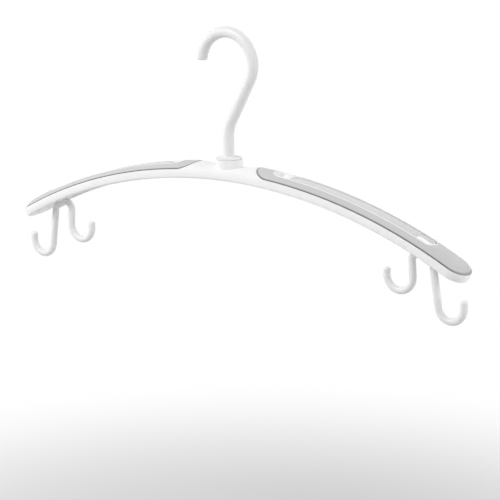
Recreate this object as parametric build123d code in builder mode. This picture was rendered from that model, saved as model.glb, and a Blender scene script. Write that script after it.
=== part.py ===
from build123d import *
from math import asin, atan2, cos, degrees, hypot, pi, radians, sin
import os

# A wide clothes hanger in white plastic: one curved shoulder arm with soft grips
# let into both shoulders, a hook that turns in the middle, and a double strap
# hook under each end. Millimetres. Z points up, the arm runs along X, and the
# origin is where the rail touches the inside of the hook's crown.

os.makedirs("parts", exist_ok=True)

# ---------------------------------------------------------------- main sizes
ARM_LENGTH = 440.0  # tip to tip
ARM_WIDTH = 26.0  # across the seam between the white shell and the grips
ARC_RADIUS = 450.0  # the seam is one arc, seen from the front
HANG_DROP = 105.4  # from the rail down to the top of that arc

# ---------------------------------------------------------------- arm shell
WALL_HEIGHT = 7.3  # white side below the seam
SIDE_BULGE = 0.4
BOTTOM_ROUND = 1.8
CROWN_ARM = 5.0  # rise of the rounded top over the seam, on the shoulders
CROWN_MIDDLE = 2.6  # the same beside the boss, where the top dips
DIP_START = 12.0  # the dip begins here, measured from the middle
DIP_END = 30.0
CUT_RISE = 9.0  # cuts that are open above reach this far over the seam

# ---------------------------------------------------------------- hollow underneath
COVER_INSET = 1.5  # the cover lies this far up between the walls
COVER_THICK = 1.6
LOWER_WALL = 1.6
LEDGE = 0.8  # the walls thicken here, and the cover seats on the step
CEILING = 0.8  # crown of the hollow over the seam
CEILING_EDGE = -1.6
END_SOLID = 13.0  # solid tip beyond the hollow
COVER_GAP = 0.15
SEAT_GAP = 0.05
LUG_LENGTH = 7.0
LUG_REACH = 0.5
LUG_HEIGHT = 0.8
LUG_SPOTS = (52.0, 98.0, 144.0)  # snap lugs, measured from the middle

# ---------------------------------------------------------------- soft grips
GRIP_START = 29.5  # nose of each grip, measured from the middle
GRIP_NOSE = 15.5  # length of the half-ellipse at the nose
GRIP_BED = 3.0  # crown of the bed under the grip
GRIP_PROUD = 0.2
GRIP_EDGE_STEP = 0.25  # the grip's edge stands back from the wall
GRIP_LEDGE = 1.4  # width of the ledge that carries its edge
GRIP_GROOVE = 0.15  # fine groove round the nose

# ---------------------------------------------------------------- troughs
TROUGH_START = 45.0
TROUGH_END = 192.5
TROUGH_HALF = 7.2  # to the outside of the white lip
LIP = 1.0
TROUGH_FLOOR = -0.3
TROUGH_SHOULDER = 2.2  # where the dished floor meets the straight wall
TROUGH_SKIN = 1.5
INNER_RAMP = 8.0
OUTER_CORNER = 1.2

# ---------------------------------------------------------------- boss and swivel
BOSS_RADIUS = 11.0
BOSS_TOP = 8.5
BOSS_EDGE = 0.5
TUBE_RADIUS = 7.5
TUBE_FOOT = -0.6
STEM_RADIUS = 3.0
STEM_CLEARANCE = 0.08
STEM_END = -3.5
COLLAR_RADIUS = 10.5
COLLAR_RIM = 0.9
COLLAR_CONE = 0.8
COLLAR_EDGE = 0.3
COLLAR_GAP = 0.1
WASHER_RADIUS = 6.2
WASHER_THICK = 0.8
WASHER_BORE_GAP = 0.1
CLIP_THICK = 0.7
CLIP_RADIUS = 5.2
CLIP_MOUTH = 4.0
GROOVE_DEPTH = 0.7
GROOVE_PLAY = 0.05

# ---------------------------------------------------------------- rail hook
HOOK_ROD = 4.4
HOOK_ARC = 25.0  # centreline radius over the rail
HOOK_LEAN = 29.1  # slant of the straight stretch from vertical
HOOK_BEND = 28.0
HOOK_TIP_ANGLE = 176.0
HOOK_TIP_ROUND = 1.2
FOOT_FILLET = 1.2  # where the collar's cone runs into the rod

# ---------------------------------------------------------------- strap hooks
STRAP_AT = 181.0  # peg centre, measured from the middle at the seam
STRAP_ROD = 2.9
STRAP_SEAT_GAP = 0.15
PEG_LENGTH = 15.0
PEG_WIDTH = 5.6
PEG_TOP = 2.0
PEG_CLEARANCE = 0.15
PEG_EDGE = 0.5
BARB_LENGTH = 5.0
BARB_REACH = 0.7
BARB_HEIGHT = 1.5
CORNER_ROUND = 6.0
OUTER_J = 11.0
OUTER_J_OUT = 27.2  # centre of the outer curl, from the bar's centre
OUTER_J_DOWN = 38.1
OUTER_LEAN = 8.5
OUTER_TIP = 7.0
INNER_J = 11.5
INNER_J_IN = 17.5
INNER_J_DOWN = 19.6
INNER_LEAN = 3.7
INNER_TIP = 5.6
STRAP_TIP_ROUND = 2.2

# ---------------------------------------------------------------- worked out
HALF = ARM_LENGTH / 2
HALF_WIDTH = ARM_WIDTH / 2
SEAM_TOP = -HANG_DROP
ARC_CENTRE = SEAM_TOP - ARC_RADIUS
AXIS = Axis((0, 0, ARC_CENTRE), (0, 1, 0))
TIP_ANGLE = degrees(asin(HALF / ARC_RADIUS))
END_ANGLE = degrees(asin(HALF / hypot(ARC_RADIUS, HALF_WIDTH)) - atan2(HALF_WIDTH, ARC_RADIUS))
COVER_FACE = -WALL_HEIGHT + COVER_INSET
COVER_TOP = COVER_FACE + COVER_THICK
LEDGE_LEVEL = COVER_TOP + SEAT_GAP
POCKET_HALF = HALF_WIDTH - LOWER_WALL
HOLLOW_END = HALF - END_SOLID


def arc_angle(along):
    """Angle of the arm's arc at a distance from the middle, in degrees."""
    return degrees(asin(along / ARC_RADIUS))


def across(angle):
    """Plane across the arm: its second coordinate is the radius from the arc's centre."""
    turn = radians(angle)
    return Plane(
        origin=(0, 0, ARC_CENTRE), x_dir=(0, 1, 0), z_dir=(cos(turn), 0, -sin(turn))
    )


def end_axis(side):
    """Line across the seam that the arm's end turns about: side 1 is right, -1 left."""
    end_plane = across(side * END_ANGLE)
    return Axis(end_plane.origin, end_plane.y_dir * -side)


def crown_rise(along):
    """Rise of the top over the seam: full on the shoulders, lower beside the boss."""
    share = (abs(along) - DIP_START) / (DIP_END - DIP_START)
    share = min(max(share, 0), 1)
    blend = (1 - cos(pi * share)) / 2
    return CROWN_MIDDLE + (CROWN_ARM - CROWN_MIDDLE) * blend


def shell_section(angle, crown):
    """Outline across the shell: crowned top, bulged sides, rounded bottom edges."""
    seam = ARC_RADIUS
    foot = seam - WALL_HEIGHT
    with BuildSketch(across(angle)) as section:
        with BuildLine():
            ThreePointArc((-HALF_WIDTH, seam), (0, seam + crown), (HALF_WIDTH, seam))
            ThreePointArc(
                (HALF_WIDTH, seam),
                (HALF_WIDTH + SIDE_BULGE, seam - WALL_HEIGHT / 2),
                (HALF_WIDTH - SIDE_BULGE, foot),
            )
            Line((HALF_WIDTH - SIDE_BULGE, foot), (-HALF_WIDTH + SIDE_BULGE, foot))
            ThreePointArc(
                (-HALF_WIDTH + SIDE_BULGE, foot),
                (-HALF_WIDTH - SIDE_BULGE, seam - WALL_HEIGHT / 2),
                (-HALF_WIDTH, seam),
            )
        make_face()
        fillet(section.vertices().group_by(Axis.Y)[0], radius=BOTTOM_ROUND)
    return section.sketch


# ---------------------------------------------------------------- soft grips
# A soft overmould: a crowned strip let into the shell, with a window round the trough.
# Its section runs along the arc, and turns about the arm's end to round the tip.
trough_middle = (TROUGH_START + TROUGH_END) / 2
trough_length = TROUGH_END - TROUGH_START
nose_centre = GRIP_START + GRIP_NOSE
ledge_half = HALF_WIDTH - GRIP_LEDGE
edge_half = HALF_WIDTH - GRIP_EDGE_STEP


def grip_section(angle):
    """Outline across a grip: crowned top and a crowned bed between two flat ledges."""
    with BuildSketch(across(angle)) as section:
        with BuildLine():
            ThreePointArc(
                (-edge_half, ARC_RADIUS),
                (0, ARC_RADIUS + CROWN_ARM + GRIP_PROUD),
                (edge_half, ARC_RADIUS),
            )
            Line((edge_half, ARC_RADIUS), (ledge_half, ARC_RADIUS))
            ThreePointArc(
                (ledge_half, ARC_RADIUS), (0, ARC_RADIUS + GRIP_BED), (-ledge_half, ARC_RADIUS)
            )
            Line((-ledge_half, ARC_RADIUS), (-edge_half, ARC_RADIUS))
        make_face()
    return section.sketch


def bed_section(angle):
    """Outline across the space for a grip: its floor and ledges, open above."""
    open_half = HALF_WIDTH + LEDGE
    with BuildSketch(across(angle)) as section:
        with BuildLine():
            ThreePointArc(
                (-ledge_half, ARC_RADIUS), (0, ARC_RADIUS + GRIP_BED), (ledge_half, ARC_RADIUS)
            )
            Polyline(
                (ledge_half, ARC_RADIUS),
                (open_half, ARC_RADIUS),
                (open_half, ARC_RADIUS + CUT_RISE),
                (-open_half, ARC_RADIUS + CUT_RISE),
                (-open_half, ARC_RADIUS),
                (-ledge_half, ARC_RADIUS),
            )
        make_face()
    return section.sketch


def end_half(section, angle):
    """The half of a section on one side of the line that the arm's end turns about."""
    with BuildSketch(across(angle)) as one_side:
        with Locations((HALF_WIDTH, ARC_RADIUS)):
            Rectangle(2 * HALF_WIDTH, 4 * HALF_WIDTH)
    return one_side.sketch & section


def nose_and_window(groove):
    """A grip seen from above: elliptical nose, straight sides, window for the trough."""
    with BuildSketch(Plane.XY.offset(SEAM_TOP)) as outline:
        with Locations(((nose_centre + ARM_LENGTH) / 2, 0)):
            Rectangle(ARM_LENGTH - nose_centre, 2 * ARM_WIDTH)
        with Locations((nose_centre, 0)):
            Ellipse(GRIP_NOSE + groove, HALF_WIDTH + groove)
        with Locations((trough_middle, 0)):
            SlotOverall(trough_length, 2 * TROUGH_HALF, mode=Mode.SUBTRACT)
    return outline.sketch


with BuildPart() as grip_pad_right:
    add(grip_section(0))
    revolve(axis=AXIS, revolution_arc=END_ANGLE)
    add(end_half(grip_section(END_ANGLE), END_ANGLE))
    revolve(axis=end_axis(1), revolution_arc=180)
    add(nose_and_window(0))
    extrude(amount=HALF, both=True, mode=Mode.INTERSECT)

with BuildPart() as grip_pad_left:
    add(mirror(grip_pad_right.part, about=Plane.YZ, mode=Mode.PRIVATE))

# The bed that the shell leaves for a grip, with the trough's lip standing in its window
# and a fine groove round the nose.
with BuildPart() as grip_bed:
    add(bed_section(0))
    revolve(axis=AXIS, revolution_arc=END_ANGLE)
    add(end_half(bed_section(END_ANGLE), END_ANGLE))
    revolve(axis=end_axis(1), revolution_arc=180)
    add(nose_and_window(GRIP_GROOVE))
    extrude(amount=HALF, both=True, mode=Mode.INTERSECT)

# ---------------------------------------------------------------- trough tools
# The hollow of one trough: dished floor, straight upper walls, round ends, a ramp
# at the inner end and a tight corner at the outer one.
with BuildPart() as trough_hollow:
    dish_half = TROUGH_HALF - LIP
    with BuildSketch(across(0)):
        with BuildLine():
            ThreePointArc(
                (-dish_half, ARC_RADIUS + TROUGH_SHOULDER),
                (0, ARC_RADIUS + TROUGH_FLOOR),
                (dish_half, ARC_RADIUS + TROUGH_SHOULDER),
            )
            Polyline(
                (dish_half, ARC_RADIUS + TROUGH_SHOULDER),
                (dish_half, ARC_RADIUS + CUT_RISE),
                (-dish_half, ARC_RADIUS + CUT_RISE),
                (-dish_half, ARC_RADIUS + TROUGH_SHOULDER),
            )
        make_face()
    revolve(axis=AXIS, revolution_arc=TIP_ANGLE)
    with BuildSketch(Plane.XY.offset(SEAM_TOP)):
        with Locations((trough_middle, 0)):
            SlotOverall(trough_length - 2 * LIP, 2 * dish_half)
    extrude(amount=HALF, both=True, mode=Mode.INTERSECT)
    ramp_start = arc_angle(TROUGH_START + LIP)
    ramp_end = arc_angle(TROUGH_END - LIP)
    trough_turn = ramp_end - ramp_start
    with BuildSketch(Plane.XZ) as trough_side:
        with BuildLine():
            floor_radius = ARC_RADIUS + TROUGH_FLOOR
            floor = CenterArc((0, ARC_CENTRE), floor_radius, 90 - ramp_end, trough_turn)
            high = CenterArc((0, ARC_CENTRE), ARC_RADIUS + 2 * CUT_RISE, 90 - ramp_end, trough_turn)
            Line(floor @ 0, high @ 0)
            Line(floor @ 1, high @ 1)
        make_face()
        for corner, radius in ((floor @ 0, OUTER_CORNER), (floor @ 1, INNER_RAMP)):
            fillet(trough_side.vertices().sort_by_distance(corner)[0], radius=radius)
    extrude(amount=ARM_WIDTH, both=True, mode=Mode.INTERSECT)

# The trough's underside inside the hollow arm, one skin thicker all round.
with BuildPart() as trough_block:
    with BuildSketch(across(0)):
        with Locations((0, ARC_RADIUS + (TROUGH_FLOOR - TROUGH_SKIN + CEILING + LEDGE) / 2)):
            Rectangle(
                2 * (TROUGH_HALF + LEDGE), CEILING + LEDGE - TROUGH_FLOOR + TROUGH_SKIN
            )
    revolve(axis=AXIS, revolution_arc=TIP_ANGLE)
    with BuildSketch(Plane.XY.offset(SEAM_TOP)):
        with Locations((trough_middle, 0)):
            SlotOverall(trough_length + 2 * LEDGE, 2 * (TROUGH_HALF + LEDGE))
    extrude(amount=HALF, both=True, mode=Mode.INTERSECT)

# ---------------------------------------------------------------- strap hook places
strap_angle = arc_angle(STRAP_AT)
strap_out = Vector(sin(radians(strap_angle)), 0, cos(radians(strap_angle)))
strap_along = Vector(cos(radians(strap_angle)), 0, -sin(radians(strap_angle)))
strap_seam = Vector(0, 0, ARC_CENTRE) + strap_out * ARC_RADIUS
bar_depth = -COVER_FACE + STRAP_SEAT_GAP + STRAP_ROD
bar_centre = strap_seam - strap_out * bar_depth


def peg_plane(rise):
    """Plane across the strap hook's peg, at a height over the seam."""
    return Plane(origin=strap_seam + strap_out * rise, x_dir=strap_along, z_dir=strap_out)


with BuildPart() as peg_slot:
    with BuildSketch(peg_plane(-WALL_HEIGHT)):
        SlotOverall(PEG_LENGTH + 2 * PEG_CLEARANCE, PEG_WIDTH + 2 * PEG_CLEARANCE)
    extrude(amount=WALL_HEIGHT + PEG_TOP)

# ---------------------------------------------------------------- hollow underneath
# A shallow pocket for the cover below a ledge, and the hollow arm above it.
hollow_half = POCKET_HALF - LEDGE

with BuildPart() as hollow:
    with BuildSketch(across(-TIP_ANGLE)):
        with BuildLine():
            ThreePointArc(
                (-hollow_half, ARC_RADIUS + CEILING_EDGE),
                (0, ARC_RADIUS + CEILING),
                (hollow_half, ARC_RADIUS + CEILING_EDGE),
            )
            Polyline(
                (hollow_half, ARC_RADIUS + CEILING_EDGE),
                (hollow_half, ARC_RADIUS - WALL_HEIGHT),
                (-hollow_half, ARC_RADIUS - WALL_HEIGHT),
                (-hollow_half, ARC_RADIUS + CEILING_EDGE),
            )
        make_face()
    revolve(axis=AXIS, revolution_arc=2 * TIP_ANGLE)
    with BuildSketch(Plane.XY.offset(SEAM_TOP)):
        SlotOverall(2 * (HOLLOW_END - LEDGE), 2 * hollow_half)
    extrude(amount=HALF, both=True, mode=Mode.INTERSECT)
    add(trough_block.part, mode=Mode.SUBTRACT)
    add(mirror(trough_block.part, about=Plane.YZ, mode=Mode.PRIVATE), mode=Mode.SUBTRACT)
    with BuildSketch(Plane.XY.offset(SEAM_TOP + TUBE_FOOT)):
        Circle(TUBE_RADIUS)
    extrude(amount=BOSS_TOP, mode=Mode.SUBTRACT)

with BuildPart() as pocket:
    with BuildSketch(across(-TIP_ANGLE)):
        pocket_high = LEDGE_LEVEL
        pocket_low = -WALL_HEIGHT - COVER_INSET
        with Locations((0, ARC_RADIUS + (pocket_high + pocket_low) / 2)):
            Rectangle(2 * POCKET_HALF, pocket_high - pocket_low)
    revolve(axis=AXIS, revolution_arc=2 * TIP_ANGLE)
    with BuildSketch(Plane.XY.offset(SEAM_TOP)):
        SlotOverall(2 * HOLLOW_END, 2 * POCKET_HALF)
    extrude(amount=HALF, both=True, mode=Mode.INTERSECT)


def lug_blocks(growth):
    """Snap lugs along both long edges of the cover, or their pockets, grown a little."""
    middle = ARC_RADIUS + (COVER_FACE + COVER_TOP) / 2
    reach = 2 * (POCKET_HALF - COVER_GAP + LUG_REACH + growth)
    height = LUG_HEIGHT + 2 * growth
    half_turn = degrees((LUG_LENGTH / 2 + growth) / ARC_RADIUS)
    with BuildPart() as lugs:
        for spot in LUG_SPOTS:
            for side in (-1, 1):
                with BuildSketch(across(side * arc_angle(spot) - half_turn)):
                    with Locations((0, middle)):
                        Rectangle(reach, height)
                revolve(axis=AXIS, revolution_arc=2 * half_turn)
    return lugs.part


# ---------------------------------------------------------------- arm shell
with BuildPart() as arm_shell:
    blend_marks = (0, 0.35, 0.6, 0.85, 1.0)
    dip_span = DIP_END - DIP_START
    right_marks = [DIP_START + dip_span * mark for mark in blend_marks] + [DIP_END + 3]
    marks = [-mark for mark in reversed(right_marks)] + [0] + right_marks
    for mark in marks:
        add(shell_section(arc_angle(mark), crown_rise(mark)))
    loft()
    shoulder_start = arc_angle(DIP_END + 3)
    shoulder_turn = END_ANGLE - shoulder_start
    add(shell_section(shoulder_start, CROWN_ARM))
    revolve(axis=AXIS, revolution_arc=shoulder_turn)
    add(shell_section(-END_ANGLE, CROWN_ARM))
    revolve(axis=AXIS, revolution_arc=shoulder_turn)
    for side in (-1, 1):
        add(end_half(shell_section(side * END_ANGLE, CROWN_ARM), side * END_ANGLE))
        revolve(axis=end_axis(side), revolution_arc=180)
    with BuildSketch(Plane.XY.offset(SEAM_TOP)):
        Circle(BOSS_RADIUS)
    extrude(amount=BOSS_TOP)
    boss_rims = arm_shell.edges(Select.LAST)
    boss_crest = boss_rims.sort_by(Axis.Z)[-1]
    fillet(boss_crest, radius=BOSS_EDGE)
    add(hollow.part, mode=Mode.SUBTRACT)
    add(pocket.part, mode=Mode.SUBTRACT)
    add(grip_bed.part, mode=Mode.SUBTRACT)
    add(mirror(grip_bed.part, about=Plane.YZ, mode=Mode.PRIVATE), mode=Mode.SUBTRACT)
    add(trough_hollow.part, mode=Mode.SUBTRACT)
    add(mirror(trough_hollow.part, about=Plane.YZ, mode=Mode.PRIVATE), mode=Mode.SUBTRACT)
    add(peg_slot.part, mode=Mode.SUBTRACT)
    add(mirror(peg_slot.part, about=Plane.YZ, mode=Mode.PRIVATE), mode=Mode.SUBTRACT)
    add(lug_blocks(COVER_GAP), mode=Mode.SUBTRACT)
    with BuildSketch(Plane.XY.offset(SEAM_TOP - WALL_HEIGHT)):
        Circle(STEM_RADIUS + STEM_CLEARANCE)
    extrude(amount=WALL_HEIGHT + BOSS_TOP, mode=Mode.SUBTRACT)

# ---------------------------------------------------------------- underside cover
# A curved strip that snaps in between the walls, with a slot for each peg.
with BuildPart() as arm_cover:
    with BuildSketch(across(-TIP_ANGLE)):
        with Locations((0, ARC_RADIUS + (COVER_FACE + COVER_TOP) / 2)):
            Rectangle(2 * (POCKET_HALF - COVER_GAP), COVER_THICK)
    revolve(axis=AXIS, revolution_arc=2 * TIP_ANGLE)
    with BuildSketch(Plane.XY.offset(SEAM_TOP)):
        SlotOverall(2 * (HOLLOW_END - COVER_GAP), 2 * (POCKET_HALF - COVER_GAP))
    extrude(amount=HALF, both=True, mode=Mode.INTERSECT)
    add(lug_blocks(0))
    add(peg_slot.part, mode=Mode.SUBTRACT)
    add(mirror(peg_slot.part, about=Plane.YZ, mode=Mode.PRIVATE), mode=Mode.SUBTRACT)

def bent_rod(path_edges, radius):
    """Round rod along straight runs and arcs, one piece of it for each."""
    with BuildPart() as rod:
        for edge in path_edges:
            with BuildSketch(Plane(origin=edge @ 0, z_dir=edge % 0)):
                Circle(radius)
            if edge.geom_type == GeomType.LINE:
                extrude(amount=edge.length)
            else:
                arm = edge @ 0 - edge.arc_center
                bend_axis = Axis(edge.arc_center, arm.cross(edge % 0))
                revolve(axis=bend_axis, revolution_arc=degrees(edge.length / edge.radius))
    return rod.part


# ---------------------------------------------------------------- strap hooks
# One rod bent like a wide M: an outer curl, a bar under the arm and a higher inner
# curl. A flat-sided peg rises from the bar through the cover and the trough's floor.
outer_centre = bar_centre + Vector(OUTER_J_OUT, 0, -OUTER_J_DOWN)
inner_centre = bar_centre + Vector(-INNER_J_IN, 0, -INNER_J_DOWN)


def on_circle(centre, radius, angle):
    """Point of a circle in the plane of the arm."""
    turn = radians(angle)
    return centre + Vector(radius * cos(turn), 0, radius * sin(turn))


def up_to_bar(foot, lean):
    """Where a leg that leans outward going down meets the line of the bar."""
    rise = Vector(-sin(radians(lean)), 0, cos(radians(lean)))
    return foot + rise * ((bar_centre - foot).dot(strap_out) / rise.dot(strap_out))


outer_foot = on_circle(outer_centre, OUTER_J, 180 + OUTER_LEAN)
inner_foot = on_circle(inner_centre, INNER_J, INNER_LEAN)
outer_turn = on_circle(outer_centre, OUTER_J, 0)
inner_turn = on_circle(inner_centre, INNER_J, 180)
with BuildLine() as strap_path:
    Line(outer_turn + Vector(0, 0, OUTER_TIP), outer_turn)
    ThreePointArc(outer_turn, on_circle(outer_centre, OUTER_J, 270), outer_foot)
    FilletPolyline(
        outer_foot,
        up_to_bar(outer_foot, OUTER_LEAN),
        up_to_bar(inner_foot, INNER_LEAN),
        inner_foot,
        radius=CORNER_ROUND,
    )
    ThreePointArc(inner_foot, on_circle(inner_centre, INNER_J, 270), inner_turn)
    Line(inner_turn, inner_turn + Vector(0, 0, INNER_TIP))
strap_rod = bent_rod(strap_path.edges(), STRAP_ROD)

with BuildPart() as strap_hook_right:
    add(strap_rod)
    tips = strap_hook_right.faces().filter_by(GeomType.PLANE).edges()
    fillet(tips, radius=STRAP_TIP_ROUND)
    with BuildSketch(peg_plane(-WALL_HEIGHT)):
        SlotOverall(PEG_LENGTH, PEG_WIDTH)
    extrude(amount=WALL_HEIGHT + PEG_TOP)
    fillet(strap_hook_right.faces().sort_by(Axis(strap_seam, strap_out))[-1].edges(), radius=PEG_EDGE)
    with BuildSketch(peg_plane(COVER_TOP + SEAT_GAP)):
        Rectangle(BARB_LENGTH, PEG_WIDTH + 2 * BARB_REACH)
    extrude(amount=BARB_HEIGHT, taper=20)

with BuildPart() as strap_hook_left:
    add(mirror(strap_hook_right.part, about=Plane.YZ, mode=Mode.PRIVATE))

# ---------------------------------------------------------------- swivel hook
# A bent rod with a thin collar that turns on the boss, and a stem through it.
collar_foot = SEAM_TOP + BOSS_TOP + COLLAR_GAP
collar_top = collar_foot + COLLAR_RIM
cone_top = collar_top + COLLAR_CONE
hook_centre = -(HOOK_ARC - HOOK_ROD)
stem_foot = SEAM_TOP + STEM_END
groove_top = SEAM_TOP + TUBE_FOOT - WASHER_THICK - 2 * SEAT_GAP
groove_low = groove_top - CLIP_THICK - 2 * GROOVE_PLAY

foot_top = cone_top + FOOT_FILLET
lean = radians(HOOK_LEAN)
slant_x = HOOK_ARC * cos(lean)
slant_z = hook_centre - HOOK_ARC * sin(lean)
bend_z = slant_z - slant_x / (sin(lean) / cos(lean))
hook_middle = Vector(0, 0, hook_centre)
with BuildLine() as hook_path:
    FilletPolyline((0, 0, foot_top), (0, 0, bend_z), (slant_x, 0, slant_z), radius=HOOK_BEND)
    ThreePointArc(
        (slant_x, 0, slant_z),
        on_circle(hook_middle, HOOK_ARC, 90),
        on_circle(hook_middle, HOOK_ARC, HOOK_TIP_ANGLE),
    )
hook_rod = bent_rod(hook_path.edges(), HOOK_ROD)

with BuildPart() as swivel_hook:
    add(hook_rod)
    fillet(swivel_hook.faces().filter_by(GeomType.PLANE).sort_by(Axis.Z)[-1].edges(),
           radius=HOOK_TIP_ROUND)
    with BuildSketch(Plane.XZ) as foot_section:
        with BuildLine():
            Polyline(
                (0, stem_foot),
                (STEM_RADIUS - GROOVE_DEPTH, stem_foot),
                (STEM_RADIUS, stem_foot + GROOVE_DEPTH),
                (STEM_RADIUS, groove_low),
                (STEM_RADIUS - GROOVE_DEPTH, groove_low),
                (STEM_RADIUS - GROOVE_DEPTH, groove_top),
                (STEM_RADIUS, groove_top),
                (STEM_RADIUS, collar_foot),
                (COLLAR_RADIUS, collar_foot),
                (COLLAR_RADIUS, collar_top),
                (HOOK_ROD, cone_top),
                (HOOK_ROD, foot_top),
                (0, foot_top),
                (0, stem_foot),
            )
        make_face()
        rim = foot_section.vertices().group_by(Axis.X)[-1]
        fillet(rim, radius=COLLAR_EDGE)
        cone_corner = foot_section.vertices().sort_by_distance((HOOK_ROD, cone_top))[0]
        fillet(cone_corner, radius=FOOT_FILLET)
    revolve(axis=Axis.Z)

# ---------------------------------------------------------------- washer and clip
with BuildPart() as thrust_washer:
    with BuildSketch(Plane.XY.offset(SEAM_TOP + TUBE_FOOT - SEAT_GAP - WASHER_THICK)):
        Circle(WASHER_RADIUS)
        Circle(STEM_RADIUS + WASHER_BORE_GAP, mode=Mode.SUBTRACT)
    extrude(amount=WASHER_THICK)

with BuildPart() as hook_clip:
    with BuildSketch(Plane.XY.offset(groove_low + GROOVE_PLAY)):
        Circle(CLIP_RADIUS)
        Circle(STEM_RADIUS - GROOVE_DEPTH + GROOVE_PLAY, mode=Mode.SUBTRACT)
        with Locations((0, CLIP_RADIUS)):
            Rectangle(CLIP_MOUTH, 2 * CLIP_RADIUS, mode=Mode.SUBTRACT)
    extrude(amount=CLIP_THICK)

# ---------------------------------------------------------------- write the pieces
pieces = {
    "swivel_hook": swivel_hook,
    "hook_clip": hook_clip,
    "thrust_washer": thrust_washer,
    "arm_shell": arm_shell,
    "arm_cover": arm_cover,
    "grip_pad_left": grip_pad_left,
    "grip_pad_right": grip_pad_right,
    "strap_hook_left": strap_hook_left,
    "strap_hook_right": strap_hook_right,
}
for piece_name, piece in pieces.items():
    piece.part.label = piece_name
    export_step(piece.part, f"parts/{piece_name}.step")
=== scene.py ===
from math import asin, cos, pi, radians, sin, sqrt

import bmesh
import bpy
from mathutils import Matrix, Vector


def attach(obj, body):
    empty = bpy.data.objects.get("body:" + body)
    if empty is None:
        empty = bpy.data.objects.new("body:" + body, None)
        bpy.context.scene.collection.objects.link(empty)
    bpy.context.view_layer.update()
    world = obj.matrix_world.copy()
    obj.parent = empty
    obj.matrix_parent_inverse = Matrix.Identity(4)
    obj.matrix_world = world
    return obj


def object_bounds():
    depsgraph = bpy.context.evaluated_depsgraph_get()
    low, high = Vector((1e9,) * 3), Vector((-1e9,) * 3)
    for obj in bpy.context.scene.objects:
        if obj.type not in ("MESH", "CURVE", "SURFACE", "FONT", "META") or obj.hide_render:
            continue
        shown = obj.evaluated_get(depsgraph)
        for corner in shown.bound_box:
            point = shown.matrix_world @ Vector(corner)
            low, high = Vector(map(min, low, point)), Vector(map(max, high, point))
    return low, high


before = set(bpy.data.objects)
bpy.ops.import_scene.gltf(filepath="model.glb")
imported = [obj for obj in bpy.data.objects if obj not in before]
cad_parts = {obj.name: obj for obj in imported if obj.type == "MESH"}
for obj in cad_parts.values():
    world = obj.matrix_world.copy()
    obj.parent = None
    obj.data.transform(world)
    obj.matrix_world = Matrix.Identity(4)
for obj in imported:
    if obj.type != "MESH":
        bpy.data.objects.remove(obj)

cad_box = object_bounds()


# ---------------------------------------------------------------- camera
# The photograph looks down a little on the hanger from its right front, through a long
# lens. The view was fitted to the arm's seam, the rail hook and the strap hooks.
view_azimuth = radians(36.47)
view_elevation = radians(13.50)
view_roll = radians(-0.96)
view_target = Vector((0.0193, 0.0, -0.1693))
view_distance = 1.443
lens_pixels = 1800.0  # focal length, for a picture frame_pixels wide
frame_pixels = 500.0
sensor_mm = 36.0
far_sight = 20.0  # metres, past the floor's corners

back = Vector((
    sin(view_azimuth) * cos(view_elevation),
    -cos(view_azimuth) * cos(view_elevation),
    sin(view_elevation),
))
level_right = Vector((cos(view_azimuth), sin(view_azimuth), 0.0))
level_up = back.cross(level_right)
camera_right = level_right * cos(view_roll) + level_up * sin(view_roll)
camera_up = level_up * cos(view_roll) - level_right * sin(view_roll)
camera_axes = Matrix((camera_right, camera_up, back)).transposed().to_4x4()
camera_place = view_target + back * view_distance

camera_data = bpy.data.cameras.new("camera")
camera_data.sensor_fit = "HORIZONTAL"
camera_data.sensor_width = sensor_mm
camera_data.lens = sensor_mm * lens_pixels / frame_pixels
camera_data.clip_end = far_sight
camera = bpy.data.objects.new("camera", camera_data)
camera.matrix_world = Matrix.Translation(camera_place) @ camera_axes
bpy.context.scene.collection.objects.link(camera)
bpy.context.scene.camera = camera
bpy.context.scene.view_settings.view_transform = "Standard"


# ---------------------------------------------------------------- floor, light and air
# A pale floor well below the hanging object, and soft studio light: a broad key above and
# in front, a little to the left, fills from both sides and behind, and an even surround.
# What the camera sees of the surround, and of the floor further off, is plain white.
def linear(hex_code):
    """sRGB hex colour as the linear values that Blender shades with."""
    parts = [int(hex_code[i:i + 2], 16) / 255 for i in (1, 3, 5)]
    bent = [v / 12.92 if v <= 0.04045 else ((v + 0.055) / 1.055) ** 2.4 for v in parts]
    return (*bent, 1.0)


def node(tree, kind, settings=None, values=None, links=None):
    """Add one node with its settings, its socket values and the links into it."""
    made = tree.nodes.new(kind)
    for name, value in (settings or {}).items():
        setattr(made, name, value)
    for socket, value in (values or {}).items():
        made.inputs[socket].default_value = value
    for socket, source in (links or {}).items():
        tree.links.new(source, made.inputs[socket])
    return made


def seen_directly(tree):
    """1 for rays from the camera, in a reflection or through glass, else 0."""
    path = node(tree, "ShaderNodeLightPath")
    either = node(tree, "ShaderNodeMath", {"operation": "MAXIMUM"}, None, {
        0: path.outputs["Is Camera Ray"], 1: path.outputs["Is Glossy Ray"]})
    return node(tree, "ShaderNodeMath", {"operation": "MAXIMUM"}, None, {
        0: either.outputs[0], 1: path.outputs["Is Transmission Ray"]}).outputs[0]


surround_strength = 0.38
white_strength = 1.0  # shows as plain white
world = bpy.data.worlds.new("white_surround")
world.use_nodes = True
bpy.context.scene.world = world
air = world.node_tree
air.nodes.clear()
soft_light = node(air, "ShaderNodeBackground", None, {
    "Color": linear("#ffffff"), "Strength": surround_strength})
plain_white = node(air, "ShaderNodeBackground", None, {
    "Color": linear("#ffffff"), "Strength": white_strength})
air_mix = node(air, "ShaderNodeMixShader", None, None, {
    0: seen_directly(air), 1: soft_light.outputs[0], 2: plain_white.outputs[0]})
node(air, "ShaderNodeOutputWorld", None, None, {"Surface": air_mix.outputs[0]})

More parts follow.
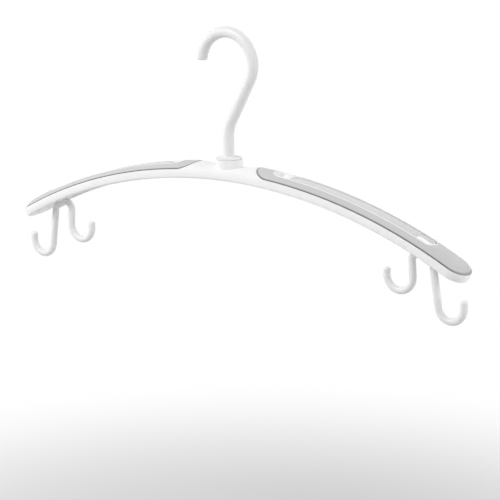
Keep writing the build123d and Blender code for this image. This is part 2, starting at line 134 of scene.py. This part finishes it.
floor_gap = 0.30
floor_level = cad_box[0][2] - floor_gap
floor_half = 12.0
floor_mesh = bpy.data.meshes.new("floor")
floor_mesh.from_pydata(
    [(-floor_half, -floor_half, floor_level), (floor_half, -floor_half, floor_level),
     (floor_half, floor_half, floor_level), (-floor_half, floor_half, floor_level)],
    [], [(0, 1, 2, 3)])
floor = bpy.data.objects.new("floor", floor_mesh)
bpy.context.scene.collection.objects.link(floor)

# Flat white wall paint: its own tone and the shadow near the object, white further off.
pool_radius = 0.25  # the paint shows as it is out to here
pool_fade = 0.45  # and has turned plain white this much further out
floor_paint = bpy.data.materials.new("white_floor_paint")
floor_paint.use_nodes = True
paint = floor_paint.node_tree
paint.nodes.clear()
floor_place = node(paint, "ShaderNodeTexCoord").outputs["Object"]
flat_place = node(paint, "ShaderNodeVectorMath", {"operation": "MULTIPLY"}, {
    1: (1.0, 1.0, 0.0)}, {0: floor_place})
from_middle = node(paint, "ShaderNodeVectorMath", {"operation": "LENGTH"}, None, {
    0: flat_place.outputs[0]})
beyond_pool = node(paint, "ShaderNodeMapRange", {"interpolation_type": "SMOOTHSTEP"}, {
    "From Min": pool_radius, "From Max": pool_radius + pool_fade}, {
    "Value": from_middle.outputs["Value"]})
plain_share = node(paint, "ShaderNodeMath", {"operation": "MULTIPLY"}, None, {
    0: seen_directly(paint), 1: beyond_pool.outputs["Result"]})
floor_diffuse = node(paint, "ShaderNodeBsdfDiffuse", None, {"Color": linear("#dcdcdc")})
floor_glow = node(paint, "ShaderNodeEmission", None, {
    "Color": linear("#ffffff"), "Strength": white_strength})
floor_mix = node(paint, "ShaderNodeMixShader", None, None, {
    0: plain_share.outputs[0], 1: floor_diffuse.outputs[0], 2: floor_glow.outputs[0]})
node(paint, "ShaderNodeOutputMaterial", None, None, {"Surface": floor_mix.outputs[0]})
floor_mesh.materials.append(floor_paint)


def area_lamp(name, place, size, watts):
    """A square soft box aimed at the middle of the arm."""
    lamp_data = bpy.data.lights.new(name, "AREA")
    lamp_data.shape = "SQUARE"
    lamp_data.size = size
    lamp_data.energy = watts
    lamp = bpy.data.objects.new(name, lamp_data)
    lamp.location = place
    lamp.rotation_euler = (view_target - Vector(place)).to_track_quat("-Z", "Y").to_euler()
    bpy.context.scene.collection.objects.link(lamp)


area_lamp("key_soft_box", place=(-0.50, -1.22, 1.05), size=0.8, watts=20.0)
area_lamp("left_soft_box", place=(-1.5, -0.5, 0.1), size=0.9, watts=4.0)
area_lamp("right_soft_box", place=(1.4, 0.35, 0.12), size=0.9, watts=8.5)
area_lamp("back_soft_box", place=(0.2, 1.35, 0.75), size=0.9, watts=4.5)


# ---------------------------------------------------------------- arm shell and cover
# The arm is an injection-moulded polypropylene shell, curved, thin-walled and hollow, and
# a moulded strip snaps into its underside to close it. Spark-eroded moulds give both an
# even satin sheen.
def moulded_plastic(name, colours, rough, grain_mm, grain_height_mm):
    """Satin moulded plastic: faint drift of tone and sheen, and a fine mould grain.

    A real mould grain of about 0.1 mm is too fine to show, so grain_mm is coarser.
    """
    drift_per_metre = 18.0  # soft clouds of tone, about 55 mm across
    smoother, rougher = 0.05, 0.06  # how far the sheen drifts either way
    relief_strength = 0.35
    plastic_ior = 1.49  # polypropylene, and near enough for the elastomer
    material = bpy.data.materials.new(name)
    material.use_nodes = True
    tree = material.node_tree
    tree.nodes.clear()
    place = node(tree, "ShaderNodeTexCoord").outputs["Object"]
    drift = node(tree, "ShaderNodeTexNoise", None, {
        "Scale": drift_per_metre, "Detail": 2.0, "Roughness": 0.5}, {"Vector": place})
    tone = node(tree, "ShaderNodeMix", {"data_type": "RGBA"}, {
        6: linear(colours[0]), 7: linear(colours[1])}, {0: drift.outputs["Fac"]})
    grain = node(tree, "ShaderNodeTexNoise", None, {
        "Scale": 1000.0 / grain_mm, "Detail": 3.0, "Roughness": 0.6}, {"Vector": place})
    relief = node(tree, "ShaderNodeBump", None, {
        "Strength": relief_strength, "Distance": grain_height_mm / 1000}, {
        "Height": grain.outputs["Fac"]})
    gloss = node(tree, "ShaderNodeMapRange", None, {
        "To Min": rough - smoother, "To Max": rough + rougher}, {
        "Value": drift.outputs["Fac"]})
    skin = node(tree, "ShaderNodeBsdfPrincipled", {"name": "skin"}, {"IOR": plastic_ior}, {
        "Base Color": tone.outputs[2],
        "Roughness": gloss.outputs["Result"],
        "Normal": relief.outputs["Normal"],
    })
    node(tree, "ShaderNodeOutputMaterial", None, None, {"Surface": skin.outputs[0]})
    return material


def give_material(node_name, material):
    """Give a CAD node its finished material in every slot."""
    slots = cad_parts[node_name].data.materials
    for index in range(len(slots)):
        slots[index] = material
    if not len(slots):
        slots.append(material)


white_finish = {"rough": 0.42, "grain_mm": 0.6, "grain_height_mm": 0.012}
# A clean white with the faintest drift, soft highlights and no hard reflection.
white_plastic = moulded_plastic(
    "moulded_white_polypropylene", ("#f6f6f6", "#f1f1f1"), **white_finish)
for white_piece in ("arm_shell", "arm_cover"):
    give_material(white_piece, white_plastic)


# ---------------------------------------------------------------- soft grips
# Thermoplastic elastomer moulded over each shoulder of the shell, to stop anything sliding
# off. It is grey and matte, with a fine leathery grain, and where its rolled edge tucks in
# beside the shell a fine line of shade is painted into its colour.
def tint(material, share, hex_code):
    """Turn a moulded plastic's own tone towards one colour, by a share from 0 to 1."""
    tree = material.node_tree
    skin = tree.nodes["skin"]
    tinted = node(tree, "ShaderNodeMix", {"data_type": "RGBA"}, {7: linear(hex_code)}, {
        0: share, 6: skin.inputs["Base Color"].links[0].from_socket})
    tree.links.new(tinted.outputs[2], skin.inputs["Base Color"])


def rubber_with_painted_edge_shade(name, colours, ends, half_width, tuck, painted_shade_tone):
    """Grey elastomer with painted shade where its edge tucks in, on a round-ended outline.

    ends is the centre and the length of the inner end, then of the outer one; tuck is
    the share of the way out to the edge where the painted shade starts, and where it is full.
    """
    end_shade = 0.5  # the painted shade left at the very ends, where the edge lies more open
    material = moulded_plastic(name, colours, rough=0.62, grain_mm=0.45, grain_height_mm=0.02)
    tree = material.node_tree
    place = node(tree, "ShaderNodeSeparateXYZ", None, None, {
        0: node(tree, "ShaderNodeTexCoord").outputs["Object"]})
    along = node(tree, "ShaderNodeMath", {"operation": "ABSOLUTE"}, None, {
        0: place.outputs["X"]})
    (inner, inner_length), (outer, outer_length) = ends
    inner_share = node(tree, "ShaderNodeMapRange", None, {
        "From Min": inner, "From Max": inner - inner_length}, {"Value": along.outputs[0]})
    outer_share = node(tree, "ShaderNodeMapRange", None, {
        "From Min": outer, "From Max": outer + outer_length}, {"Value": along.outputs[0]})
    end_share = node(tree, "ShaderNodeMath", {"operation": "MAXIMUM"}, None, {
        0: inner_share.outputs["Result"], 1: outer_share.outputs["Result"]})
    side_share = node(tree, "ShaderNodeMath", {"operation": "DIVIDE"}, {1: half_width}, {
        0: place.outputs["Y"]})
    both_shares = node(tree, "ShaderNodeCombineXYZ", None, None, {
        0: end_share.outputs[0], 1: side_share.outputs[0]})
    edge_share = node(tree, "ShaderNodeVectorMath", {"operation": "LENGTH"}, None, {
        0: both_shares.outputs[0]})
    painted_edge_shade_mask = node(tree, "ShaderNodeMapRange", {"interpolation_type": "SMOOTHSTEP"}, {
        "From Min": tuck[0], "From Max": tuck[1]}, {"Value": edge_share.outputs["Value"]})
    end_fade = node(tree, "ShaderNodeMapRange", None, {
        "To Min": 1.0, "To Max": end_shade}, {"Value": end_share.outputs[0]})
    shade = node(tree, "ShaderNodeMath", {"operation": "MULTIPLY"}, None, {
        0: painted_edge_shade_mask.outputs["Result"], 1: end_fade.outputs["Result"]})
    # Painted shade: the colour turns to a dark grey along the tucked edge.
    tint(material, shade.outputs[0], painted_shade_tone)
    return material


grip_half_width = 0.0130
grip_ends = ((0.0450, 0.0155), (0.2085, 0.0115))
grip_painted_shade_span = (0.87, 0.96)
# Mid grey and dull, as a soft rubbery skin: broad dim highlights, and a line of painted shade
# along its rim.
grip_rubber = rubber_with_painted_edge_shade(
    "matte_grey_elastomer_painted_edge_shade", ("#cfcfd0", "#c7c7c8"),
    grip_ends, grip_half_width, grip_painted_shade_span, "#5c5d5d")
for grip in ("grip_pad_left", "grip_pad_right"):
    give_material(grip, grip_rubber)


# ---------------------------------------------------------------- trough linings
# Elastomer of a paler grey lies in both white troughs as a thin dished lining with a low
# rim, moulded with the grips. It ramps up from the inner end of the trough, and the head
# of the strap hook's peg comes up through a slot in it.
arc_radius = 0.4500  # of the arm's seam, which is at seam_top in the middle
seam_top = -0.1054
arc_middle = Vector((0.0, 0.0, seam_top - arc_radius))
dish_half = 0.0062  # the trough's floor, with its heights over the seam
dish_low = -0.0003
dish_shoulder = 0.0022
dish_depth = dish_shoulder - dish_low
dish_radius = (dish_half ** 2 + dish_depth ** 2) / (2 * dish_depth)
lining_inner = 0.0555
lining_outer = 0.1907
lining_half = 0.0057
lining_first = lining_inner + lining_half  # centre of the round inner end
lining_last = lining_outer - lining_half  # and of the outer one
lining_thick = 0.0004
lining_lift = 0.00004  # clear of the trough's floor
lining_steps = 54
lining_end_steps = 16
rim_thick = 0.0006
rim_top = 0.0036
rim_least = 0.00035
rim_rise_length = 0.014
peg_at = 0.1810
peg_slot_half_length = 0.0078
peg_slot_half_width = 0.0031
lining_painted_shade_span = (0.90, 0.95)

# The grips' soft dull skin in a paler grey, with painted shade along its rim.
lining_ends = ((lining_first, lining_half), (lining_last, lining_half))
lining_rubber = rubber_with_painted_edge_shade(
    "matte_pale_grey_lining_elastomer_painted_rim_shade", ("#dededf", "#d6d6d7"),
    lining_ends, lining_half, lining_painted_shade_span, "#858686")


def on_arm(along, aside, height):
    """Point over the seam's arc, at a distance along X and a height out from the arc."""
    reach = arc_radius + height
    return Vector((along, aside, arc_middle.z + sqrt(reach ** 2 - along ** 2)))


def dish(aside):
    """Height of the trough's floor over the seam."""
    return dish_low + dish_radius - sqrt(dish_radius ** 2 - aside ** 2)


def rim_height(along, floor_height):
    """Height of the lining's rim over its floor, low at the ramp and full beyond it."""
    rise = min(max((along - lining_inner) / rim_rise_length, 0.0), 1.0)
    rise = rise * rise * (3 - 2 * rise)
    return max(max(rim_top - floor_height, rim_least) * rise, rim_least)


def lining_profile():
    """Once round the section: distance out, thickness and share of the rim's height."""
    floor_shares = (0.0, 0.3, 0.6, 0.8, 0.92)
    crest_shares = (0.2, 0.5, 0.8)
    wall_foot, wall_brow = 0.2, 0.9
    inside = lining_half - rim_thick
    top = [(inside * share, lining_thick, 0.0) for share in floor_shares]
    wall = [(inside, lining_thick, wall_foot), (inside, lining_thick, wall_brow)]
    crest = [(inside + rim_thick * share, lining_thick, 1.0) for share in crest_shares]
    outer = [(lining_half, lining_thick, wall_brow), (lining_half, 0.0, 0.0)]
    under = [(inside * share, 0.0, 0.0) for share in reversed(floor_shares)]
    return top + wall + crest + outer + under


def lining_outline():
    """Once round the trough: a point of the middle line, and the direction out of it."""
    ring = []
    for end, other, start_turn, aside in (
            (lining_last, lining_first, -pi / 2, 1.0),
            (lining_first, lining_last, pi / 2, -1.0)):
        for step in range(lining_end_steps):
            turn = start_turn + pi * step / lining_end_steps
            ring.append((end, cos(turn), sin(turn)))
        for step in range(lining_steps):
            ring.append((end + (other - end) * step / lining_steps, 0.0, aside))
    return ring


def lining_mesh(name, side):
    """Closed lining of one trough: the profile carried round the trough's outline."""
    merge_within = 0.000005
    shortest_edge = 0.000002
    profile = lining_profile()
    shell = bmesh.new()
    rows = []
    for middle, out_along, out_aside in lining_outline():
        row = []
        for out, thick, rim in profile:
            along = middle + out * out_along
            aside = out * out_aside
            floor_height = dish(aside) + lining_lift + thick
            height = floor_height + rim * rim_height(along, floor_height)
            row.append(shell.verts.new(on_arm(along, aside, height)))
        rows.append(row)
    for here, there in zip(rows, rows[1:] + rows[:1]):
        for k in range(len(profile) - 1):
            shell.faces.new((here[k], here[k + 1], there[k + 1], there[k]))
    if side < 0:
        bmesh.ops.scale(shell, vec=(-1.0, 1.0, 1.0), verts=shell.verts)
    bmesh.ops.remove_doubles(shell, verts=shell.verts, dist=merge_within)
    bmesh.ops.dissolve_degenerate(shell, edges=shell.edges, dist=shortest_edge)
    bmesh.ops.recalc_face_normals(shell, faces=shell.faces)
    mesh = bpy.data.meshes.new(name)
    shell.to_mesh(mesh)
    shell.free()
    return mesh


def peg_cutter(side):
    """Round-ended bar through the lining where the peg stands."""
    reach_below = 0.004
    reach_above = 0.006
    lean = asin(peg_at / arc_radius)
    outward = Vector((sin(lean) * side, 0.0, cos(lean)))
    along = Vector((cos(lean), 0.0, -sin(lean) * side))
    seat = arc_middle + outward * arc_radius
    straight = peg_slot_half_length - peg_slot_half_width
    outline = []
    for end in (1, -1):
        for step in range(lining_end_steps + 1):
            turn = -pi / 2 * end + pi * step / lining_end_steps
            run = straight * end + peg_slot_half_width * cos(turn)
            aside = peg_slot_half_width * sin(turn)
            outline.append(seat + along * run + Vector((0, aside, 0)))
    bar = bmesh.new()
    low = [bar.verts.new(point - outward * reach_below) for point in outline]
    high = [bar.verts.new(point + outward * reach_above) for point in outline]
    bar.faces.new(low)
    bar.faces.new(high)
    count = len(outline)
    for k in range(count):
        bar.faces.new((low[k], low[(k + 1) % count], high[(k + 1) % count], high[k]))
    bmesh.ops.recalc_face_normals(bar, faces=bar.faces)
    mesh = bpy.data.meshes.new("peg_cutter")
    bar.to_mesh(mesh)
    bar.free()
    return bpy.data.objects.new("peg_cutter", mesh)


lining_crease = radians(40)
for side_name, side in (("right", 1), ("left", -1)):
    lining_name = "trough_lining_" + side_name
    lining = bpy.data.objects.new(lining_name, lining_mesh(lining_name, side))
    cutter = peg_cutter(side)
    for made in (lining, cutter):
        bpy.context.scene.collection.objects.link(made)
    slotting = lining.modifiers.new("peg_slot", "BOOLEAN")
    slotting.operation = "DIFFERENCE"
    slotting.solver = "EXACT"
    slotting.object = cutter
    slotted = lining.evaluated_get(bpy.context.evaluated_depsgraph_get())
    finished = bpy.data.meshes.new_from_object(slotted)
    lining.modifiers.remove(slotting)
    lining.data = finished
    finished.name = lining_name
    bpy.data.objects.remove(cutter)
    finished.shade_smooth()
    finished.set_sharp_from_angle(angle=lining_crease)
    finished.materials.clear()
    finished.materials.append(lining_rubber)
    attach(lining, "hanger")


# ---------------------------------------------------------------- rail hook
# A thick solid rod of the same polypropylene, moulded bent, with a thin coned collar and
# a stem that turns in the arm's boss. It is painted a shade greyer than the shell, as
# painted shade for the thick rods' darker look.
rod_plastic_with_painted_shade = moulded_plastic(
    "moulded_white_polypropylene_rod", ("#ebebeb", "#e6e6e6"), **white_finish)
give_material("swivel_hook", rod_plastic_with_painted_shade)


# ---------------------------------------------------------------- washer and clip
# A steel washer and a push-on clip on the stem's groove hold the rail hook, hidden in the
# arm. Both are stamped and zinc-plated: bright, faintly spangled and a little blurred.
spangles_per_metre = 900.0  # zinc crystals about 1.1 mm across
spangle_middle_rough = 0.25
spangle_edge_rough = 0.42
zinc_steel = bpy.data.materials.new("bright_zinc_plated_steel")
zinc_steel.use_nodes = True
zinc = zinc_steel.node_tree
zinc.nodes.clear()
spangle = node(zinc, "ShaderNodeTexVoronoi", None, {"Scale": spangles_per_metre}, {
    "Vector": node(zinc, "ShaderNodeTexCoord").outputs["Object"]})
zinc_gloss = node(zinc, "ShaderNodeMapRange", None, {
    "To Min": spangle_middle_rough, "To Max": spangle_edge_rough}, {
    "Value": spangle.outputs["Distance"]})
zinc_skin = node(zinc, "ShaderNodeBsdfPrincipled", None, {
    "Base Color": linear("#c9ccce"), "Metallic": 1.0}, {
    "Roughness": zinc_gloss.outputs["Result"]})
node(zinc, "ShaderNodeOutputMaterial", None, None, {"Surface": zinc_skin.outputs[0]})
for steel_piece in ("hook_clip", "thrust_washer"):
    give_material(steel_piece, zinc_steel)


# ---------------------------------------------------------------- strap hooks
# M-shaped rods, moulded of the rail hook's plastic. Each has a bar with a peg, pressed up
# through the shell, and the peg's head shows in the trough. It is painted whiter than the
# rest of the hook, as white as the thin shell: painted light on its lit top.
peg_head_foot = 0.4455  # distance from arc_middle at which the peg's head starts
peg_head_fade = 0.0010
strap_plastic = rod_plastic_with_painted_shade.copy()
strap_plastic.name = "moulded_white_polypropylene_strap_hook"
strap = strap_plastic.node_tree
from_arc_middle = node(strap, "ShaderNodeVectorMath", {"operation": "SUBTRACT"}, {
    1: arc_middle}, {0: node(strap, "ShaderNodeTexCoord").outputs["Object"]})
across_arc = node(strap, "ShaderNodeVectorMath", {"operation": "MULTIPLY"}, {
    1: (1.0, 0.0, 1.0)}, {0: from_arc_middle.outputs[0]})
out_from_arc = node(strap, "ShaderNodeVectorMath", {"operation": "LENGTH"}, None, {
    0: across_arc.outputs[0]})
peg_head_painted_light_share = node(strap, "ShaderNodeMapRange", None, {
    "From Min": peg_head_foot, "From Max": peg_head_foot + peg_head_fade}, {
    "Value": out_from_arc.outputs["Value"]})
# Painted light: the peg's head is turned to near white, lighter than the rest of the hook.
tint(strap_plastic, peg_head_painted_light_share.outputs["Result"], "#f8f8f8")
for strap_hook in ("strap_hook_left", "strap_hook_right"):
    give_material(strap_hook, strap_plastic)
